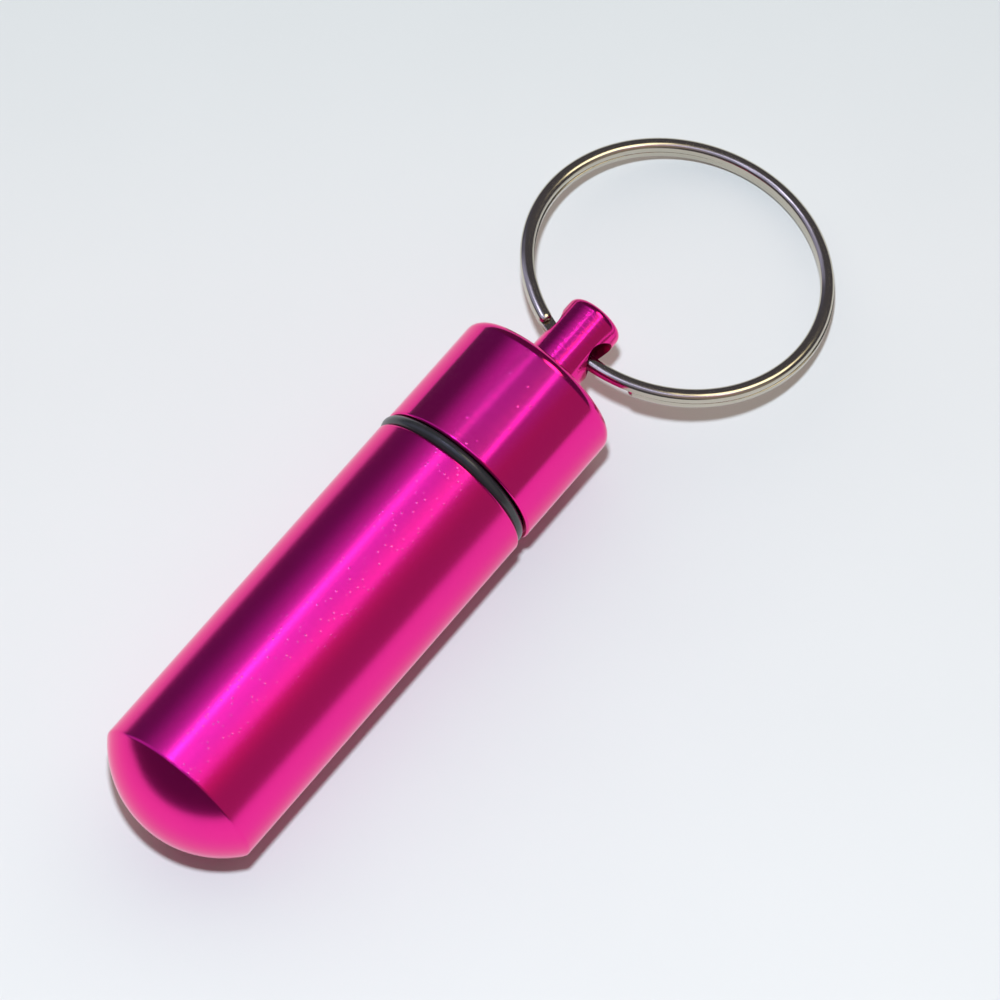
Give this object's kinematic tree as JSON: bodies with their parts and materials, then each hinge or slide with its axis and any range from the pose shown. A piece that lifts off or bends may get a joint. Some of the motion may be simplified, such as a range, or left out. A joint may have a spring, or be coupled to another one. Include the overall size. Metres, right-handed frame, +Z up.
{
  "type": "pill fob keychain",
  "caption": "Slim anodised aluminium pill capsule with a domed end, a screw cap sealed by a rubber ring, and a split key ring through the stem on its cap.",
  "frame": {"origin": "centre of the bounding box at its base, on the surface that the capsule lies on", "axes": "+X along the capsule from its domed end to the split ring, +Z up, +Y across"},
  "size_m": [0.0742, 0.025, 0.014],
  "materials": {
    "anodised_aluminium": "bright magenta anodised",
    "black_rubber": "satin",
    "nickel_plated_steel": "polished"
  },
  "bodies": {
    "barrel": {"barrel": "anodised_aluminium"},
    "seal": {"o_ring": "black_rubber"},
    "cap": {"screw_cap": "anodised_aluminium"},
    "ring": {"split_ring": "nickel_plated_steel"}
  },
  "joints": [
    {"name": "cap_turn", "type": "hinge", "parent": "barrel", "child": "seal", "pos_m": [-0.00098, 0.00155, 0.007], "axis": [1, 0, 0], "range_deg": [0, 2160]},
    {"name": "cap_lift", "type": "slide", "parent": "seal", "child": "cap", "axis": [1, 0, 0], "range_m": [0, 0.006]},
    {"name": "ring_swing", "type": "hinge", "parent": "cap", "child": "ring", "pos_m": [0.01391, 0.00155, 0.007], "axis": [0, -1, 0], "range_deg": [-143, 172]}
  ],
  "couplings": [
    {"joint": "cap_turn", "follows": "cap_lift", "rad_per_m": 6283.2}
  ]
}
